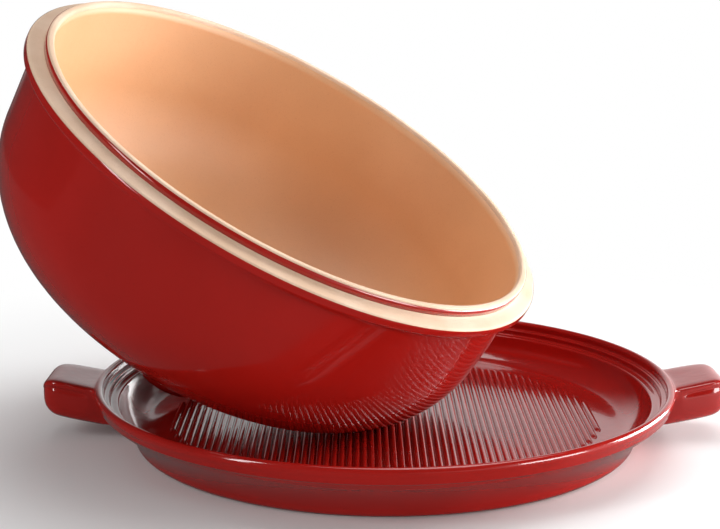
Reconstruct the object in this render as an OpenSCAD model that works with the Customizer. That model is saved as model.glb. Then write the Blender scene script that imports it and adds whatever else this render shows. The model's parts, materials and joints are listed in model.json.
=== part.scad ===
// Round stoneware bread cloche: a ribbed baking dish with two side handles, and the deep
// dome that covers it. The dome is shown laid crown-down in the dish, resting on the rim
// of its knob and on its shoulder. The origin is the middle of the dish's underside.

/* [Dish] */
// Outer diameter of the dish over its rim
dish_d = 285; // [230:1:345]
// Height of the dish from the table to the top of its rim
dish_h = 28.5; // [25:0.5:36]
// Thickness of the rim at its rounded top
rim_w = 4.2; // [3.5:0.1:5.5]
// Depth of the lid seat below the top of the rim
seat_drop = 4.6; // [3.5:0.1:6]
// Width of the lid seat
seat_w = 2.6; // [2:0.1:3.5]
// Depth of the drip channel below the lid seat
channel_drop = 3.1; // [2:0.1:4]
// Width of the drip channel
channel_w = 3.2; // [2.4:0.1:4]
// Height of the collar round the outside of the rim
collar_h = 8; // [6:0.5:10]
// How far the collar overhangs the wall below it
collar_out = 4.5; // [3:0.1:6]
// How far the foot's edge lies inside the rim
foot_inset = 18.4; // [12:0.1:26]
// Thickness of the floor between the ribs, above the underside
floor_t = 5.9; // [4.5:0.1:8]
// Depth of the hollow under the floor, inside the foot ring
foot_rise = 1.5; // [1:0.1:2.5]
// Width of the foot ring
foot_w = 12; // [8:0.5:18]
// Radius that joins the floor to the inner wall
floor_fillet = 16; // [10:0.5:20]

/* [Ribs] */
// Distance from one rib to the next
rib_pitch = 3.45; // [3:0.05:5]
// Height of a rib above the floor
rib_h = 0.9; // [0.5:0.1:1.5]
// Width of the flat valley between two ribs
rib_gap = 1.0; // [0.6:0.1:1.4]
// Width of the plain border between the ribs and the inner wall
rib_border = 23.9; // [20:0.5:34]

/* [Handles] */
// How far a handle reaches beyond the rim
handle_out = 26; // [20:0.5:32]
// Width of a handle along the rim
handle_w = 37; // [30:1:56]
// Thickness of a handle
handle_t = 20; // [15:0.5:21]
// Depth of a handle's root below the top of the rim
handle_drop = 1.6; // [1.2:0.1:4.5]
// Rise of a handle from the rim to its outer end
handle_lift = 5; // [0:0.1:6]
// Corner radius of a handle seen from above
handle_corner = 10; // [6:0.5:20]
// Radius of a handle's outer end seen from the side
handle_edge = 5; // [3:0.5:6]

/* [Dome] */
// Height of the dome from its lip to its crown, without the knob
dome_h = 121; // [110:1:145]
// Depth of the straight wall, from the lip to the shoulder
straight_h = 45; // [38:1:54]
// Radius of the shoulder between the wall and the crown
shoulder_r = 59.5; // [49:0.5:66]
// Thickness of the dome's wall
wall_t = 6.5; // [5:0.1:8]
// Draft of the outer wall between the flange and the shoulder
dome_draft = 1.3; // [0.5:0.1:2]
// Gap round the dome's flange when it stands in the dish's rim
lid_gap = 0.8; // [0.5:0.1:1.5]
// Gap round the dome's lip when it stands inside the dish's wall
lip_gap = 1.0; // [0.5:0.1:1.5]
// Width of the top of the lip
lip_w = 4.0; // [3:0.1:5]
// Height of the lip above the unglazed ledge
lip_h = 4.2; // [3.5:0.1:5]
// How far the unglazed ledge falls away below the lip's foot, towards its edge
ledge_fall = 1.5; // [1:0.1:2.5]
// Height of the flange's outer face
flange_h = 5.2; // [4:0.1:7]
// How far the flange overhangs the wall
flange_out = 5.2; // [4:0.1:6.5]

/* [Knob] */
// Diameter of the knob's head
knob_d = 42; // [34:1:50]
// Diameter of the knob's neck
neck_d = 33; // [26:1:38]
// Height of the knob above the crown
knob_h = 27; // [20:0.5:33]
// Radius of the edge of the knob's head
knob_edge = 5; // [3:0.5:6]

/* [Resting place of the dome] */
// Gap between the resting dome and the tops of the ribs
rest_gap = 0.3; // [0.3:0.1:1]
// Direction that the dome leans towards, from the right-hand handle
lean_turn = -24.6; // [-45:0.1:45]
// Gap between the knob's upturned edge and the dish's rim
knob_gap = 1.8; // [1.5:0.1:10]
// Sideways offset of the dome from the middle of the dish
lean_offset = -12; // [-20:1:0]

/* [Hidden] */
$fn = 180;

glaze_red = [0.60, 0.07, 0.06];
dome_red = [0.70, 0.10, 0.08];

// Dish radii, from the outside in
rim_r = dish_d / 2;
rim_in_r = rim_r - rim_w;
seat_in_r = rim_in_r - seat_w;
channel_round = 1.6;
well_r = seat_in_r - channel_w - channel_round;
rib_r = well_r - rib_border;
collar_inset = 1.4;
collar_r = rim_r - collar_inset;
collar_in_r = rim_r - collar_out;
foot_edge = 3.5;
foot_r = rim_r - foot_inset - foot_edge;
wall_turn_r = foot_r + 6.4;

// Radii of the dish's rounded edges
collar_round = 1.6;
well_round = 1.2;
seat_round = 0.8;

// Dish heights, from the table up
floor_z = foot_rise + floor_t;
crest_z = floor_z + rib_h;
seat_z = dish_h - seat_drop;
channel_z = seat_z - channel_drop;
collar_z = dish_h - collar_h;
wall_turn_z = foot_edge + 7;
well_z = channel_z - well_round;
fillet_z = floor_z + floor_fillet;
fillet_turn = asin(max(0, fillet_z - well_z) / floor_fillet);
fillet_r = well_r - floor_fillet * cos(fillet_turn);

// Handles
handle_z = dish_h - handle_drop - handle_t;
handle_reach = rim_r + handle_out;
handle_slope = handle_lift / handle_out;

// Dome radii and depths below the lip. The flange and the lip follow the dish.
flange_r = rim_in_r - lid_gap;
lip_r = well_r - lip_gap;
lip_in_r = lip_r - lip_w;
body_r = flange_r - flange_out;
shoulder_at_r = body_r - dome_draft - shoulder_r;
edge_h = lip_h + ledge_fall;
flange_low_h = edge_h + flange_h;
crown_rise = dome_h - straight_h;
crown_r = sphere_r(crown_rise, shoulder_at_r, shoulder_r);
crown_at_h = dome_h - crown_r;
crown_turn = atan2(straight_h - crown_at_h, shoulder_at_r);
inner_shoulder_r = shoulder_r - wall_t;
inner_crown_r = crown_r - wall_t;
knob_top_h = dome_h + knob_h;
knob_edge_at_h = knob_top_h - knob_edge;
knob_edge_at_r = knob_d / 2 - knob_edge;
knob_crown = 0.6;
neck_r = neck_d / 2;
neck_flare = 0.6;
neck_fillet = 3;

// Radii of the dome's rounded edges
lip_in_round = 1.5;
lip_round = 1.2;
flange_round = 1.6;
flange_fillet = 3.4;

// The dome rests on its knob's edge and on its shoulder, or on its crown where that is lower
on_shoulder = 90 - lean_on(shoulder_at_r, straight_h, shoulder_r) <= crown_turn;
touch_at_r = on_shoulder ? shoulder_at_r : 0;
touch_at_h = on_shoulder ? straight_h : crown_at_h;
touch_r = on_shoulder ? shoulder_r : crown_r;
lean = lean_on(touch_at_r, touch_at_h, touch_r);
rest_z = crest_z + rest_gap + touch_at_h * cos(lean) + touch_at_r * sin(lean) + touch_r;
rest_u = knob_gap - rim_in_r + knob_top_h * sin(lean) + knob_d / 2 * cos(lean);

// Lean of the dome when one line touches the knob's edge and a round of radius r, centred at
// distance d from the axis and depth h
function lean_on(d, h, r) =
    let (across = d - knob_edge_at_r, down = knob_edge_at_h - h)
        atan2(down, across) - asin((r - knob_edge) / norm([across, down]));

// Radius of the sphere on the axis that ends at height rise above the shoulder's centre and
// runs smoothly into a shoulder of radius r, centred at distance d from the axis
function sphere_r(rise, d, r) = (rise * rise + d * d - r * r) / (2 * (rise - r));

// Points on an arc round [x, y], from one angle to another
function arc(x, y, r, from, to, steps = 6) =
    [for (i = [0 : steps])
        let (turn = from + (to - from) * i / steps)
            [x + r * cos(turn), y + r * sin(turn)]];

// Points on a curve from a to c that leaves and arrives along the lines to b
function curve(a, b, c, steps = 6) =
    [for (i = [0 : steps])
        let (t = i / steps)
            (1 - t) * (1 - t) * a + 2 * t * (1 - t) * b + t * t * c];

// Section of the dish as if it were filled level with its rim
function dish_outside() = concat(
    [[0, foot_rise], [foot_r - foot_w - foot_rise, foot_rise], [foot_r - foot_w, 0], [foot_r, 0]],
    arc(foot_r, foot_edge, foot_edge, -75, -20, 4),
    curve(
        [foot_r + foot_edge, foot_edge],
        [wall_turn_r, wall_turn_z],
        [collar_in_r, collar_z - collar_round]
    ),
    arc(collar_r - collar_round, collar_z + collar_round, collar_round, -60, 0, 3),
    arc(rim_r - rim_w / 2, dish_h - rim_w / 2, rim_w / 2, 0, 90, 5),
    [[0, dish_h]]
);

// Section of the space inside the dish, from the floor up past the rim
function dish_inside() = concat(
    [[0, floor_z]],
    arc(fillet_r, fillet_z, floor_fillet, -90, -fillet_turn, 7),
    arc(well_r + well_round, well_z, well_round, 180, 90, 3),
    arc(seat_in_r - channel_round, channel_z + channel_round, channel_round, -90, 0, 3),
    arc(seat_in_r + seat_round, seat_z - seat_round, seat_round, 180, 90, 3),
    [[rim_in_r - seat_round, seat_z], [rim_in_r, seat_z + seat_round]],
    arc(rim_r - rim_w / 2, dish_h - rim_w / 2, rim_w / 2, 180, 90, 5),
    [[rim_r - rim_w / 2, dish_h + 1], [0, dish_h + 1]]
);

// All the ribs are one corrugated sheet, trimmed to the round floor
module ribs() {
    count = floor(rib_r / rib_pitch);
    sink = 0.4;
    half_w = (rib_pitch - rib_gap) / 2;
    half_top = half_w * 0.4;
    side_z = floor_z + 0.1;
    intersection() {
        translate([0, 0, floor_z - sink])
            cylinder(r = rib_r, h = sink + rib_h);
        union()
            for (i = [-count : count])
                translate([i * rib_pitch, rib_r, 0])
                    rotate([90, 0, 0])
                        linear_extrude(2 * rib_r)
                            polygon([
                                [-half_w, floor_z - sink],
                                [half_w, floor_z - sink],
                                [half_w, side_z],
                                [half_top, crest_z],
                                [-half_top, crest_z],
                                [-half_w, side_z]
                            ]);
    }
}

// Side view of the handle on +X, which rises outwards and has a rounded end
module handle_side() {
    turn = atan(handle_slope);
    end_x = handle_reach - handle_edge;
    rise = handle_lift - handle_edge * handle_slope;
    root_drop = (rim_r - foot_r) * handle_slope;
    polygon(concat(
        [[foot_r, handle_z - root_drop]],
        arc(end_x, handle_z + rise + handle_edge, handle_edge, turn - 90, 0, 5),
        arc(end_x, handle_z + handle_t + rise - handle_edge, handle_edge, 0, turn + 90, 5),
        [[foot_r, handle_z + handle_t - root_drop]]
    ));
}

// Plan of both handles
module handle_plan() {
    half_w = handle_w / 2 - handle_corner;
    for (side = [-1, 1])
        for (y = [-half_w, half_w])
            translate([side * (handle_reach - handle_corner), y])
                circle(handle_corner);
    square([2 * handle_reach, 2 * half_w], center = true);
    square([2 * (handle_reach - handle_corner), handle_w], center = true);
}

module handles() {
    intersection() {
        for (turn = [0, 180])
            rotate([0, 0, turn])
                translate([0, handle_w / 2, 0])
                    rotate([90, 0, 0])
                        linear_extrude(handle_w)
                            handle_side();
        linear_extrude(dish_h + handle_lift)
            handle_plan();
    }
}

module ribbed_dish() {
    color(glaze_red)
        union() {
            difference() {
                union() {
                    rotate_extrude()
                        polygon(dish_outside());
                    handles();
                }
                rotate_extrude()
                    polygon(dish_inside());
            }
            ribs();
        }
}

// The dome's section, drawn with the depth below the lip as its second coordinate
function dome_outside() = concat(
    arc(lip_in_r + lip_in_round, lip_in_round, lip_in_round, 180, 270, 4),
    arc(lip_r - lip_round, lip_round, lip_round, 270, 360, 4),
    curve([lip_r, lip_h], [lip_r + 1, edge_h - 0.4], [flange_r - flange_round, edge_h], 4),
    arc(flange_r - flange_round, edge_h + flange_round, flange_round, 300, 360, 3),
    arc(flange_r - flange_round, flange_low_h - flange_round, flange_round, 0, 60, 3),
    curve(
        [body_r + flange_fillet / 2, flange_low_h + flange_fillet / 6],
        [body_r, flange_low_h + flange_fillet / 3],
        [body_r, flange_low_h + flange_fillet],
        3
    ),
    arc(shoulder_at_r, straight_h, shoulder_r, 0, crown_turn, 10),
    arc(0, crown_at_h, crown_r, crown_turn + 4, 90, 6)
);

function dome_inside() = concat(
    arc(0, crown_at_h, inner_crown_r, 90, crown_turn + 4, 6),
    arc(shoulder_at_r, straight_h, inner_shoulder_r, crown_turn, 0, 10)
);

module knob_section() {
    root_h = dome_h - wall_t / 2;
    polygon(concat(
        [[0, root_h]],
        curve([neck_r + neck_fillet, root_h], [neck_r, dome_h], [neck_r, dome_h + 2 * neck_fillet], 4),
        [[neck_r + neck_flare, knob_edge_at_h - 1.4 * knob_edge]],
        arc(knob_edge_at_r, knob_edge_at_h, knob_edge, -50, 90, 8),
        [[0, knob_top_h + knob_crown]]
    ));
}

module dome_section() {
    polygon(concat(dome_outside(), dome_inside()));
    knob_section();
}

// The dome with its lip in the plane z = 0 and its crown below it
module dome_form() {
    mirror([0, 0, 1])
        rotate_extrude()
            dome_section();
}

module dome_lid() {
    color(dome_red)
        rotate([0, 0, lean_turn])
            translate([rest_u, lean_offset, rest_z])
                rotate([0, lean, 0])
                    dome_form();
}

ribbed_dish();
dome_lid();
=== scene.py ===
"""A round stoneware bread cloche: a ribbed baking dish, glazed red all over, and its deep dome,
glazed red outside and sand inside, with bare clay round its mouth. The dome lies in the dish."""

import json
import math

import bpy
from mathutils import Matrix, Vector


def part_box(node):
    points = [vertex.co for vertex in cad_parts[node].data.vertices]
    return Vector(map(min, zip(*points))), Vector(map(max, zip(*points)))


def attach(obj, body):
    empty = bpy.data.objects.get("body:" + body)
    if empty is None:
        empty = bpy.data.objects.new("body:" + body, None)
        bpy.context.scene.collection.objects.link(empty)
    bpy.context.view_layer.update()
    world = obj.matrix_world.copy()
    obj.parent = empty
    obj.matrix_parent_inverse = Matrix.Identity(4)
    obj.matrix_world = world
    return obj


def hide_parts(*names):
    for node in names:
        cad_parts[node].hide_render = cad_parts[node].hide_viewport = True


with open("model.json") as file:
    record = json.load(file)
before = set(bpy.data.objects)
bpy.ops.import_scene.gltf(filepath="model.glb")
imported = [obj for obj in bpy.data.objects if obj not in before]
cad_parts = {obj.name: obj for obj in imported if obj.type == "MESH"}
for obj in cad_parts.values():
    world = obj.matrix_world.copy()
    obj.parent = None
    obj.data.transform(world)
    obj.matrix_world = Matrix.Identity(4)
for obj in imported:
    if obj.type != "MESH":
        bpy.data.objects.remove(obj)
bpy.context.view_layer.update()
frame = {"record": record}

MM = 0.001

# ---- sizes ----------------------------------------------------------------------------

_, dish_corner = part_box("ribbed_dish")
RIM_R = dish_corner.y
DISH_H = 28.5 * MM
HANDLE_REACH = dish_corner.x
MOUNTS = {mount["name"]: mount for mount in frame["record"]["mounts"]}
DOME_AT = Vector(MOUNTS["dome_lip"]["pos_m"])
DOME_UP = Vector(MOUNTS["dome_lip"]["axis"]).normalized()

# Radii of the dish, worked inwards from its rim
RIM_W = 4.2 * MM
SEAT_W = 2.6 * MM
CHANNEL_W = 3.2 * MM
CHANNEL_ROUND = 1.6 * MM
RIM_IN_R = RIM_R - RIM_W
SEAT_IN_R = RIM_IN_R - SEAT_W
WELL_R = SEAT_IN_R - CHANNEL_W - CHANNEL_ROUND
RIB_R = WELL_R - 23.9 * MM
COLLAR_R = RIM_R - 1.4 * MM
COLLAR_IN_R = RIM_R - 4.5 * MM
FOOT_EDGE = 3.5 * MM
FOOT_R = RIM_R - 21.9 * MM
FOOT_W = 12 * MM

# Heights of the dish
FOOT_RISE = 1.5 * MM
FLOOR_Z = 7.4 * MM
RIB_H = 0.9 * MM
SEAT_Z = DISH_H - 4.6 * MM
CHANNEL_Z = SEAT_Z - 3.1 * MM
COLLAR_Z = DISH_H - 8 * MM
COLLAR_ROUND = 1.6 * MM
SEAT_ROUND = 0.8 * MM
WELL_ROUND = 1.2 * MM
FLOOR_FILLET = 16 * MM

# The ribs, sunk a little into the floor, taper at their ends
RIB_PITCH = 3.45 * MM
RIB_W = 3.3 * MM
RIB_END = 5.5 * MM
RIB_SINK = 0.4 * MM
RIB_LEAST = 2 * MM

# The handles rise outwards
HANDLE_W = 37 * MM
HANDLE_T = 20 * MM
HANDLE_TOP = DISH_H - 1.6 * MM
HANDLE_LOW = HANDLE_TOP - HANDLE_T
HANDLE_LIFT = 5 * MM
HANDLE_CORNER = 10 * MM
HANDLE_EDGE = 7 * MM

# The handle's root: how far out its flare and its full section lie, and how much the flare adds
FLARE_OUT = 1 * MM
FLARE_W = 1 * MM
FLARE_T = 0.4 * MM
FLARE_CURVE_KEPT = 0.6
SECTION_OUT = 3.5 * MM

# Radii of the dome, and depths below its lip
WALL = 6.5 * MM
FLANGE_R = RIM_IN_R - 0.8 * MM
LIP_R = WELL_R - 1 * MM
LIP_IN_R = LIP_R - 4 * MM
LIP_H = 4.2 * MM
LIP_IN_ROUND = 1.5 * MM
LIP_ROUND = 1.2 * MM
BODY_R = FLANGE_R - 5.2 * MM
EDGE_H = LIP_H + 1.5 * MM
FLANGE_LOW_H = EDGE_H + 5.2 * MM
FLANGE_ROUND = 1.6 * MM
FLANGE_FILLET = 3.4 * MM
DOME_H = 121 * MM
STRAIGHT_H = 45 * MM
SHOULDER_R = 59.5 * MM
SHOULDER_AT_R = BODY_R - 1.3 * MM - SHOULDER_R
CROWN_RISE = DOME_H - STRAIGHT_H
CROWN_R = (CROWN_RISE**2 + SHOULDER_AT_R**2 - SHOULDER_R**2) / (2 * (CROWN_RISE - SHOULDER_R))
CROWN_AT_H = DOME_H - CROWN_R
CROWN_TURN = math.degrees(math.atan2(STRAIGHT_H - CROWN_AT_H, SHOULDER_AT_R))

# The knob
NECK_R = 16.5 * MM
NECK_FLARE = 0.6 * MM
NECK_FILLET = 3 * MM
KNOB_EDGE = 5 * MM
KNOB_EDGE_AT_R = 21 * MM - KNOB_EDGE
KNOB_TOP_H = DOME_H + 27 * MM
KNOB_EDGE_AT_H = KNOB_TOP_H - KNOB_EDGE

# The glazes lie on the clay
GLAZE_T = 0.35 * MM
CLAY_SINK = 0.15 * MM

# How finely things are turned
TURN_STEPS = 288
DISH_COLUMNS = 96

# ---- outlines -------------------------------------------------------------------------


def arc(x, y, radius, start, end, steps=6):
    """Points on an arc round (x, y), from one angle to another, in degrees."""
    turns = [math.radians(start + (end - start) * i / steps) for i in range(steps + 1)]
    return [(x + radius * math.cos(t), y + radius * math.sin(t)) for t in turns]


def curve(a, b, c, steps=6):
    """Points on a curve from a to c that leaves and arrives along the lines to b."""
    shares = [i / steps for i in range(steps + 1)]
    return [
        tuple((1 - t) ** 2 * a[k] + 2 * t * (1 - t) * b[k] + t * t * c[k] for k in (0, 1))
        for t in shares
    ]


def offset(points, distance):
    """The outline moved to the left of its own direction by a distance."""
    moved = []
    for i, point in enumerate(points):
        before = Vector(points[max(i - 1, 0)])
        after = Vector(points[min(i + 1, len(points) - 1)])
        along = (after - before).normalized()
        moved.append((point[0] - along.y * distance, point[1] + along.x * distance))
    return moved


def dish_outline():
    """Section of the dish: under the foot, up the outside, over the rim and in to the floor."""
    fillet_z = FLOOR_Z + FLOOR_FILLET
    well_z = CHANNEL_Z - WELL_ROUND
    fillet_turn = math.asin((fillet_z - well_z) / FLOOR_FILLET)
    fillet_r = WELL_R - FLOOR_FILLET * math.cos(fillet_turn)
    half_rim = RIM_W / 2
    return (
        [(0, FOOT_RISE), (60 * MM, FOOT_RISE), (FOOT_R - FOOT_W - 3 * MM, FOOT_RISE)]
        + curve(
            (FOOT_R - FOOT_W - 2 * MM, FOOT_RISE),
            (FOOT_R - FOOT_W, FOOT_RISE),
            (FOOT_R - FOOT_W + 1 * MM, CLAY_SINK),
            3,
        )
        + [(FOOT_R - 3 * MM, CLAY_SINK)]
        + arc(FOOT_R, FOOT_EDGE, FOOT_EDGE, -80, -20, 3)
        + curve(
            (FOOT_R + FOOT_EDGE, FOOT_EDGE + 0.5 * MM),
            (FOOT_R + 6.4 * MM, FOOT_EDGE + 7 * MM),
            (COLLAR_IN_R - 0.6 * MM, COLLAR_Z - 2.4 * MM),
            5,
        )
        + [(COLLAR_IN_R + 0.6 * MM, COLLAR_Z - 1.2 * MM)]
        + arc(COLLAR_R - COLLAR_ROUND, COLLAR_Z + COLLAR_ROUND, COLLAR_ROUND, -75, 0, 3)
        + [(COLLAR_R + 0.5 * MM, COLLAR_Z + 2 * COLLAR_ROUND)]
        + [(RIM_R - 0.15 * MM, DISH_H - 3.6 * MM)]
        + arc(RIM_R - half_rim, DISH_H - half_rim, half_rim, 0, 180, 6)
        + [(RIM_IN_R, SEAT_Z + 1.1 * MM), (RIM_IN_R - 0.3 * MM, SEAT_Z + 0.2 * MM)]
        + [(RIM_IN_R - 1.1 * MM, SEAT_Z)]
        + arc(SEAT_IN_R + SEAT_ROUND, SEAT_Z - SEAT_ROUND, SEAT_ROUND, 90, 180, 3)
        + [(SEAT_IN_R, CHANNEL_Z + 1.2 * MM), (SEAT_IN_R - 0.3 * MM, CHANNEL_Z + 0.3 * MM)]
        + [(SEAT_IN_R - 1.2 * MM, CHANNEL_Z), (WELL_R + 2.2 * MM, CHANNEL_Z)]
        + arc(WELL_R + WELL_ROUND, well_z, WELL_ROUND, 90, 180, 3)
        + arc(fillet_r, fillet_z, FLOOR_FILLET, -math.degrees(fillet_turn), -90, 6)
        + [(RIB_R, FLOOR_Z), (80 * MM, FLOOR_Z), (40 * MM, FLOOR_Z), (0, FLOOR_Z)]
    )


def lip_outline():
    """Section of the bare top of the lip, from inside to outside."""
    return (
        arc(LIP_IN_R + LIP_IN_ROUND, LIP_IN_ROUND, LIP_IN_ROUND, 205, 270, 4)
        + arc(LIP_R - LIP_ROUND, LIP_ROUND, LIP_ROUND, 270, 345, 4)
    )


def ledge_outline():
    """Section of the bare hollow between the lip and the flange's edge."""
    return curve(
        (LIP_R, LIP_H),
        (LIP_R + 1 * MM, EDGE_H - 0.4 * MM),
        (FLANGE_R - FLANGE_ROUND, EDGE_H),
        6,
    ) + arc(FLANGE_R - FLANGE_ROUND, EDGE_H + FLANGE_ROUND, FLANGE_ROUND, 290, 325, 2)


def body_outline():
    """Section of the red outside, from the flange's edge to the middle of the knob's top."""
    return (
        arc(FLANGE_R - FLANGE_ROUND, EDGE_H + FLANGE_ROUND, FLANGE_ROUND, 335, 360, 2)
        + arc(FLANGE_R - FLANGE_ROUND, FLANGE_LOW_H - FLANGE_ROUND, FLANGE_ROUND, 0, 60, 4)
        + curve(
            (BODY_R + FLANGE_FILLET / 2, FLANGE_LOW_H + FLANGE_FILLET / 6),
            (BODY_R, FLANGE_LOW_H + FLANGE_FILLET / 3),
            (BODY_R, FLANGE_LOW_H + FLANGE_FILLET),
            5,
        )
        + [(BODY_R - 0.5 * MM, 27 * MM)]
        + arc(SHOULDER_AT_R, STRAIGHT_H, SHOULDER_R, 0, CROWN_TURN, 18)
        + arc(0, CROWN_AT_H, CROWN_R, CROWN_TURN + 2, 84, 6)
        + curve(
            (NECK_R + NECK_FILLET, DOME_H - 0.8 * MM),
            (NECK_R, DOME_H),
            (NECK_R, DOME_H + 2 * NECK_FILLET),
            5,
        )
        + [(NECK_R + NECK_FLARE, KNOB_EDGE_AT_H - 1.4 * KNOB_EDGE)]
        + arc(KNOB_EDGE_AT_R, KNOB_EDGE_AT_H, KNOB_EDGE, -50, 90, 10)
        + [(0, KNOB_TOP_H + 0.6 * MM)]
    )


def bowl_outline():
    """Section of the dome's inside, from the middle of the crown to the lip."""
    return (
        arc(0, CROWN_AT_H, CROWN_R - WALL, 90, CROWN_TURN + 2, 8)
        + arc(SHOULDER_AT_R, STRAIGHT_H, SHOULDER_R - WALL, CROWN_TURN, 0, 18)
        + [(LIP_IN_R - 0.4 * MM, 18 * MM), (LIP_IN_R, 6 * MM), (LIP_IN_R, 2.2 * MM)]
    )


# ---- modelling ------------------------------------------------------------------------


def select_only(piece=None):
    """Leaves edit mode and selects the one piece, or nothing."""
    if bpy.context.object and bpy.context.object.mode != "OBJECT":
        bpy.ops.object.mode_set(mode="OBJECT")
    bpy.ops.object.select_all(action="DESELECT")
    if piece:
        piece.select_set(True)
        bpy.context.view_layer.objects.active = piece


def edit(piece, mode="FACE"):
    """Opens the piece in edit mode with nothing selected."""
    select_only(piece)
    bpy.ops.object.mode_set(mode="EDIT")
    bpy.ops.mesh.select_mode(type=mode)
    bpy.ops.mesh.select_all(action="DESELECT")


def pick_faces(piece, wanted):
    """Selects only the faces whose centre and normal pass the test, in edit mode."""
    bpy.ops.mesh.select_all(action="DESELECT")
    bpy.ops.object.mode_set(mode="OBJECT")
    for face in piece.data.polygons:
        face.select = wanted(face.center, face.normal)
    bpy.ops.object.mode_set(mode="EDIT")


def pick_points(piece, wanted):
    """Selects only the vertices whose place passes the test, in edit mode."""
    bpy.ops.mesh.select_all(action="DESELECT")
    bpy.ops.object.mode_set(mode="OBJECT")
    for vertex in piece.data.vertices:
        vertex.select = wanted(vertex.co)
    bpy.ops.object.mode_set(mode="EDIT")


def apply_modifier(piece, kind, **settings):
    """Adds a modifier with its settings and applies it at once."""
    select_only(piece)
    modifier = piece.modifiers.new(kind.lower(), kind)
    for key, value in settings.items():
        setattr(modifier, key, value)
    bpy.ops.object.modifier_apply(modifier=modifier.name)


def turned(name, outline, steps=TURN_STEPS, ring=False):
    """A solid turned from (radius, height) points, closed at the axis or as a ring."""
    if ring:
        outline = outline + outline[:1]
    select_only()
    start = (outline[0][0], 0, outline[0][1])
    bpy.ops.mesh.primitive_plane_add(size=MM, location=start)
    piece = bpy.context.object
    piece.name = piece.data.name = name
    bpy.ops.object.transform_apply(location=True, rotation=True, scale=True)
    bpy.ops.object.mode_set(mode="EDIT")
    bpy.ops.mesh.select_mode(type="VERT")
    bpy.ops.mesh.select_all(action="SELECT")
    bpy.ops.mesh.merge(type="CENTER")
    for (r0, z0), (r1, z1) in zip(outline, outline[1:]):
        step = {"value": (r1 - r0, 0, z1 - z0)}
        bpy.ops.mesh.extrude_vertices_move(TRANSFORM_OT_translate=step)
    bpy.ops.mesh.select_all(action="SELECT")
    bpy.ops.mesh.spin(steps=steps, angle=2 * math.pi, center=(0, 0, 0), axis=(0, 0, 1))
    bpy.ops.mesh.select_all(action="SELECT")
    bpy.ops.mesh.remove_doubles(threshold=0.01 * MM)
    bpy.ops.mesh.normals_make_consistent(inside=False)
    bpy.ops.object.mode_set(mode="OBJECT")
    bpy.ops.object.shade_smooth()
    return piece


def upright(points):
    """Turns depths below the lip into heights."""
    return [(r, -h) for r, h in points]


def lay_down(piece):
    """Takes a piece of the dome from its own frame, lip upwards at the origin, to its place."""
    lean = Vector((0, 0, 1)).rotation_difference(DOME_UP).to_matrix().to_4x4()
    select_only(piece)
    piece.matrix_world = Matrix.Translation(DOME_AT) @ lean
    bpy.ops.object.transform_apply(location=True, rotation=True, scale=True)


def finish_piece(piece, body, slot, material, *nodes):
    """Gives a piece its material and says what it rides on and replaces."""
    piece.data.materials.clear()
    piece.data.materials.append(material)
    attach(piece, body)
    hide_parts(*nodes)


# ---- the dish -------------------------------------------------------------------------


def pull_handle(piece, side):
    """Draws one handle out of the wall and collar, on +X or -X."""
    slope = HANDLE_LIFT / (HANDLE_REACH - RIM_R)
    middle_z = (HANDLE_LOW + HANDLE_TOP) / 2
    half_w, half_t = HANDLE_W / 2, HANDLE_T / 2

    def at_root(centre, normal):
        """Faces of the wall and collar where the handle grows out."""
        return (
            HANDLE_LOW - 0.5 * MM < centre.z < HANDLE_TOP
            and side * centre.x > FOOT_R * 0.9
            and side * normal.x > 0.1
            and abs(centre.y) < half_w + 1 * MM
        )

    def picked():
        """Places of the selected points."""
        bpy.ops.object.mode_set(mode="OBJECT")
        points = [v.co.copy() for v in piece.data.vertices if v.select]
        bpy.ops.object.mode_set(mode="EDIT")
        return points

    def pull(reach, wide, tall, flat=0.0):
        """Extrudes the picked faces to a reach, half width and half thickness.

        flat is the share of the end's own curve that is kept: 0 makes it flat."""
        bpy.ops.mesh.extrude_region_move()
        end = picked()
        low, high = min(co.z for co in end), max(co.z for co in end)
        near = sum(co.x for co in end) / len(end)
        centre = Vector((near, 0, (low + high) / 2))
        grow = (flat, wide / max(abs(co.y) for co in end), 2 * tall / (high - low))
        bpy.ops.transform.resize(value=grow, center_override=centre)
        lift = slope * (reach - RIM_R)
        shift = Vector((side * reach, 0, middle_z + lift)) - centre
        bpy.ops.transform.translate(value=shift)

    def even_rows(reach):
        """Spaces the rows of the flat end evenly, from the lowest, and rounds its corners."""
        heights = sorted({round(co.z, 6) for co in picked()})
        low, high = heights[0], heights[-1]
        bpy.ops.mesh.select_mode(type="VERT")
        for i, height in enumerate(heights):
            pick_points(
                piece,
                lambda co: side * co.x > reach - 0.1 * MM and abs(co.z - height) < 0.005 * MM,
            )
            new_z = low + (high - low) * i / (len(heights) - 1)
            depth = max(0, HANDLE_EDGE - min(new_z - low, high - new_z))
            wide = half_w - HANDLE_EDGE + math.sqrt(HANDLE_EDGE**2 - depth**2)
            grow = wide / max(abs(co.y) for co in picked())
            centre = Vector((side * reach, 0, height))
            bpy.ops.transform.resize(value=(1, grow, 1), center_override=centre)
            bpy.ops.transform.translate(value=(0, 0, new_z - height))
        bpy.ops.mesh.select_mode(type="FACE")
        pick_faces(piece, lambda centre, normal: side * centre.x > reach - 0.1 * MM)

    edit(piece)
    pick_faces(piece, at_root)
    pull(RIM_R + FLARE_OUT, half_w + FLARE_W, half_t + FLARE_T, FLARE_CURVE_KEPT)
    pull(RIM_R + SECTION_OUT, half_w, half_t)
    even_rows(RIM_R + SECTION_OUT)
    pull(HANDLE_REACH - HANDLE_CORNER, half_w, half_t)
    for turn in (30, 55, 75, 90):
        angle = math.radians(turn)
        reach = HANDLE_REACH - HANDLE_CORNER * (1 - math.sin(angle))
        narrower = HANDLE_CORNER * (1 - math.cos(angle))
        edge = max(0, reach - (HANDLE_REACH - HANDLE_EDGE))
        thinner = HANDLE_EDGE - math.sqrt(max(0, HANDLE_EDGE**2 - edge**2))
        pull(reach, half_w - narrower, half_t - thinner)


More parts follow.
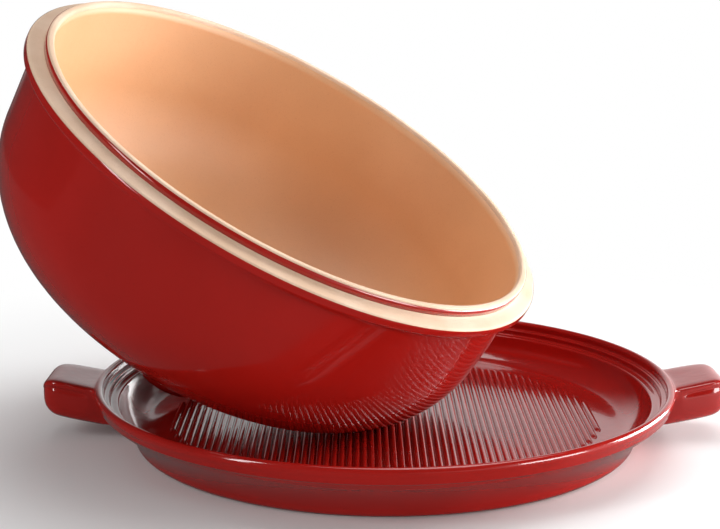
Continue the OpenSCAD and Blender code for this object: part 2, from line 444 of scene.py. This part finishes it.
def make_dish(material):
    """The dish under its red glaze. The smoothing draws the cage in, so the cage is swelled."""
    swell = 1 + (1 - math.cos(2 * math.pi / DISH_COLUMNS)) / 3
    outline = [(r * swell, z) for r, z in dish_outline()]
    dish = turned("dish_body", outline, DISH_COLUMNS)
    for side in (1, -1):
        pull_handle(dish, side)
    apply_modifier(dish, "SUBSURF", levels=2, render_levels=2)
    bpy.ops.object.shade_smooth()
    finish_piece(dish, "dish", "red_glaze", material, "ribbed_dish")


def make_foot_ring(material):
    """The bare ring that the dish stands on."""
    inner = FOOT_R - FOOT_W + 0.6 * MM
    outer = FOOT_R - 0.4 * MM
    round_r = 0.6 * MM
    outline = (
        arc(inner + round_r, round_r, round_r, 180, 270, 3)
        + arc(outer - round_r, round_r, round_r, 270, 360, 3)
    )
    ring = turned("dish_foot_ring", outline, ring=True)
    finish_piece(ring, "dish", "bare_clay", material, "ribbed_dish")


def make_ribs(material):
    """One rib is modelled at full length, then copied and shortened to the round floor."""
    select_only()
    bpy.ops.mesh.primitive_cylinder_add(
        vertices=16, radius=RIB_W / 2, depth=2 * RIB_R, rotation=(math.pi / 2, 0, 0)
    )
    rib = bpy.context.object
    rib.name = rib.data.name = "floor_ribs"
    bpy.ops.object.transform_apply(location=True, rotation=True, scale=True)
    edit(rib)
    bpy.ops.mesh.select_all(action="SELECT")
    bpy.ops.transform.resize(value=(1, 1, (RIB_H + RIB_SINK) / (RIB_W / 2)))
    for end in (1, -1):
        pick_faces(rib, lambda centre, normal: end * normal.y > 0.9)
        for wide, tall in ((0.95, 0.92), (0.80, 0.72), (0.50, 0.48)):
            bpy.ops.mesh.extrude_region_move(
                TRANSFORM_OT_translate={"value": (0, end * RIB_END / 3, 0)}
            )
            bpy.ops.transform.resize(value=(wide, 1, tall))
    bpy.ops.mesh.select_all(action="SELECT")
    bpy.ops.transform.translate(value=(0, 0, FLOOR_Z - RIB_SINK))
    select_only(rib)
    bpy.ops.object.shade_smooth()
    count = int(RIB_R / RIB_PITCH)
    copies = []
    for i in range(-count, count + 1):
        x = i * RIB_PITCH
        half = math.sqrt(RIB_R**2 - x**2) - RIB_END
        if half < RIB_LEAST:
            continue
        copy = rib.copy()
        copy.data = rib.data.copy()
        bpy.context.scene.collection.objects.link(copy)
        copies.append(copy)
        edit(copy, "VERT")
        for end in (1, -1):
            pick_points(copy, lambda co: end * co.y > 0)
            bpy.ops.transform.translate(value=(x, end * (half - RIB_R), 0))
    select_only()
    bpy.data.objects.remove(rib)
    for copy in copies:
        copy.select_set(True)
    bpy.context.view_layer.objects.active = copies[0]
    bpy.ops.object.join()
    ribs = bpy.context.object
    ribs.name = ribs.data.name = "floor_ribs"
    finish_piece(ribs, "dish", "red_glaze", material, "ribbed_dish")


# ---- the dome -------------------------------------------------------------------------


def make_dome(red, sand, clay):
    """A clay core, with thin shells of glaze outside, inside and round the lip."""
    core = bowl_outline() + lip_outline() + ledge_outline() + body_outline()
    core = turned("dome_clay", upright(offset(core, CLAY_SINK)))
    outside = body_outline()
    red_shell = turned(
        "dome_red_glaze", upright(outside + offset(outside, GLAZE_T)[::-1])
    )
    inside = bowl_outline()
    sand_shell = turned(
        "dome_sand_glaze", upright(inside + offset(inside, GLAZE_T)[::-1])
    )
    wall = [(LIP_R, 0.9 * MM), (LIP_R, 2.5 * MM), (LIP_R, LIP_H)]
    band = turned(
        "dome_lip_glaze", upright(wall + offset(wall, GLAZE_T)[::-1]), ring=True
    )
    for piece, slot, material in (
        (core, "bare_clay", clay),
        (red_shell, "red_glaze", red),
        (sand_shell, "sand_glaze", sand),
        (band, "red_glaze", red),
    ):
        lay_down(piece)
        finish_piece(piece, "dome", slot, material, "dome_lid")


# ---- materials ------------------------------------------------------------------------


class Value:
    """A node's output, which takes part in arithmetic: each operation adds a Math node."""

    def __init__(self, maker, socket):
        self.maker, self.socket = maker, socket

    def _math(self, operation, a, b):
        return self.maker.node("ShaderNodeMath", {"operation": operation}, {0: a, 1: b})

    def __add__(self, other):
        return self._math("ADD", self, other)

    def __rsub__(self, other):
        return self._math("SUBTRACT", other, self)

    def __mul__(self, other):
        return self._math("MULTIPLY", self, other)

    __radd__ = __add__
    __rmul__ = __mul__


class Finish:
    """A material, or the world, built from node calls."""

    def __init__(self, owner):
        owner.use_nodes = True
        self.owner = owner
        self.tree = owner.node_tree

    def feed(self, socket, value):
        """Links a value to a socket, or sets a constant on it."""
        if isinstance(value, Value):
            self.tree.links.new(value.socket, socket)
        else:
            socket.default_value = value

    def node(self, kind, settings=None, inputs=None, output=0):
        """Adds a node, sets it, feeds its sockets, and returns one of its outputs."""
        node = self.tree.nodes.new(kind)
        for key, value in (settings or {}).items():
            setattr(node, key, value)
        for key, value in (inputs or {}).items():
            self.feed(node.inputs[key], value)
        return Value(self, node.outputs[output])

    def noise(self, scale, detail=2.0):
        """Noise in space, with its scale in bumps to the metre."""
        spot = self.node("ShaderNodeTexCoord", output="Object")
        inputs = {"Vector": spot, "Scale": scale, "Detail": detail}
        return self.node("ShaderNodeTexNoise", {}, inputs)

    def step(self, value, low, high):
        """0 below low, 1 above high, and smooth between them."""
        return self.node(
            "ShaderNodeMapRange",
            {"interpolation_type": "SMOOTHSTEP"},
            {"Value": value, "From Min": low, "From Max": high},
        )

    def mix(self, share, a, b):
        """A colour between two, by share."""
        return self.node("ShaderNodeMix", {"data_type": "RGBA"}, {0: share, 6: a, 7: b}, 2)

    def bump(self, height, distance):
        """A normal that follows a height, for relief of a depth in metres."""
        return self.node("ShaderNodeBump", {}, {"Height": height, "Distance": distance})

    def surface(self, **inputs):
        """Feeds the sockets of the main shader, and returns the material."""
        shader = self.tree.nodes["Principled BSDF"]
        for key, value in inputs.items():
            self.feed(shader.inputs[key.replace("_", " ")], value)
        return self.owner


def red_glaze():
    """Deep red gloss glaze: slightly uneven in depth, with the faintest orange peel."""
    make = Finish(bpy.data.materials.new("red_glaze"))
    depth = make.step(make.noise(16, 3), 0.35, 0.68)
    colour = make.mix(depth, (0.36, 0.009, 0.006, 1), (0.32, 0.008, 0.005, 1))
    specks = make.step(make.noise(900, 1), 0.70, 0.80)
    colour = make.mix(specks * 0.30, colour, (0.12, 0.006, 0.005, 1))
    peel = make.noise(70, 2) + make.noise(260, 1) * 0.3
    return make.surface(
        Base_Color=colour,
        Roughness=make.noise(40, 2) * 0.06 + 0.10,
        IOR=1.5,
        Coat_Weight=0.5,
        Coat_Roughness=0.03,
        Coat_IOR=1.5,
        Normal=make.bump(peel, 0.00012),
    )


def sand_glaze():
    """Caramel satin glaze with a fine grain and a few darker specks."""
    make = Finish(bpy.data.materials.new("sand_glaze"))
    cloud = make.step(make.noise(11, 3), 0.3, 0.7)
    colour = make.mix(cloud, (0.66, 0.345, 0.155, 1), (0.60, 0.30, 0.125, 1))
    grain = make.noise(1500, 2)
    colour = make.mix(make.step(grain, 0.55, 0.75) * 0.25, colour, (0.42, 0.19, 0.08, 1))
    return make.surface(
        Base_Color=colour,
        Roughness=make.noise(60, 2) * 0.10 + 0.58,
        IOR=2.0,
        Normal=make.bump(make.noise(120, 2) + grain * 0.15, 0.0001),
    )


def bare_clay():
    """Unglazed fired clay: cream, matt, finely gritty."""
    make = Finish(bpy.data.materials.new("bare_clay"))
    cloud = make.step(make.noise(35, 3), 0.3, 0.7)
    colour = make.mix(cloud, (0.68, 0.50, 0.37, 1), (0.60, 0.41, 0.28, 1))
    grit = make.noise(1300, 3)
    colour = make.mix(make.step(grit, 0.58, 0.75) * 0.4, colour, (0.46, 0.30, 0.19, 1))
    return make.surface(
        Base_Color=colour,
        Roughness=make.noise(300, 2) * 0.15 + 0.62,
        Normal=make.bump(grit, 0.00015),
    )


# ---- the studio -----------------------------------------------------------------------


def add_floor():
    """Pale paper that keeps the shadow near the object and glows white far from it. To
    reflections the whole floor glows as painted light, bright on the right and dark on the left.
    """
    select_only()
    bpy.ops.mesh.primitive_plane_add(size=40, location=(0, 0, 0))
    floor = bpy.context.object
    floor.name = "studio_floor"
    make = Finish(bpy.data.materials.new("studio_floor"))
    paper = make.surface(Base_Color=(0.80, 0.80, 0.80, 1), Roughness=0.8)
    spot = make.node("ShaderNodeTexCoord", output="Object")
    reach = make.node("ShaderNodeVectorMath", {"operation": "LENGTH"}, {0: spot}, "Value")
    path = "ShaderNodeLightPath"
    camera = make.node(path, output="Is Camera Ray")
    glossy = make.node(path, output="Is Glossy Ray")
    across = make.node("ShaderNodeSeparateXYZ", {}, {0: spot}, 0)
    # painted reflection light: to glossy rays the floor glows, bright on the right (+X) and
    # nearly black on the left
    mirrored = make.step(across, 0.05, 0.30) * 0.9 + 0.08
    bright = camera + glossy * mirrored
    colour = make.mix(bright, (0, 0, 0, 1), (1, 1, 1, 1))
    glow = make.node("ShaderNodeEmission", {}, {"Color": colour, "Strength": 1.0})
    far = make.step(reach, 0.16, 0.42) * camera + glossy
    matt = Value(make, make.tree.nodes["Principled BSDF"].outputs[0])
    surface = make.node("ShaderNodeMixShader", {}, {0: far, 1: matt, 2: glow})
    make.feed(make.tree.nodes["Material Output"].inputs["Surface"], surface)
    floor.data.materials.append(paper)


def add_softbox(name, place, target, size, power):
    """A soft rectangular lamp at a place, facing a target."""
    lamp = bpy.data.lights.new(name, "AREA")
    lamp.shape = "RECTANGLE"
    lamp.size, lamp.size_y = size
    lamp.energy = power
    holder = bpy.data.objects.new(name, lamp)
    holder.location = place
    aim = Vector(target) - Vector(place)
    holder.rotation_euler = aim.to_track_quat("-Z", "Y").to_euler()
    bpy.context.scene.collection.objects.link(holder)


def light_world():
    """White to the camera; to the gloss, a low bright band behind and on the right."""
    world = bpy.data.worlds.new("studio")
    bpy.context.scene.world = world
    make = Finish(world)
    direction = make.node("ShaderNodeTexCoord", output="Generated")
    x, y, z = (
        make.node("ShaderNodeSeparateXYZ", {}, {0: direction}, axis) for axis in range(3)
    )
    behind = make.step(x + y * 0.6, 0.0, 0.6)
    low = 1 - make.step(z, 0.25, 0.55)
    camera = make.node("ShaderNodeLightPath", output="Is Camera Ray")
    glossy = make.node("ShaderNodeLightPath", output="Is Glossy Ray")
    clear = make.node("ShaderNodeLightPath", output="Is Transmission Ray")
    shown = camera + clear
    mirrored = glossy * (behind * low * 0.9 + 0.04)
    rest = 1 - (shown + glossy)
    strength = shown + mirrored + rest * 0.34
    background = make.tree.nodes["Background"]
    make.feed(background.inputs["Color"], (1, 1, 1, 1))
    make.feed(background.inputs["Strength"], strength)


def add_camera():
    """Looks along +Y from the front, a little downwards."""
    camera = bpy.data.cameras.new("view")
    camera.sensor_width = 36
    camera.lens = 75
    holder = bpy.data.objects.new("view", camera)
    holder.location = (-0.0122, -0.7234, 0.2291)
    holder.rotation_euler = (math.radians(90 - 11.28), 0, 0)
    bpy.context.scene.collection.objects.link(holder)
    bpy.context.scene.camera = holder


add_camera()
bpy.context.scene.view_settings.view_transform = "Standard"
light_world()
add_floor()
add_softbox("key", (0.95, 0.35, 0.20), (-0.12, 0.06, 0.14), (0.7, 0.5), 21)
add_softbox("right_fill", (0.75, -0.45, 0.10), (0.05, 0, 0.05), (0.4, 0.25), 4)
add_softbox("left_strip", (-0.75, -0.55, 0.45), (-0.15, 0, 0.12), (0.12, 0.7), 3)
add_softbox("top", (0.1, 0.25, 1.2), (0, 0, 0.05), (1.0, 0.8), 8)

red = red_glaze()
sand = sand_glaze()
clay = bare_clay()
make_dish(red)
make_foot_ring(clay)
make_ribs(red)
make_dome(red, sand, clay)
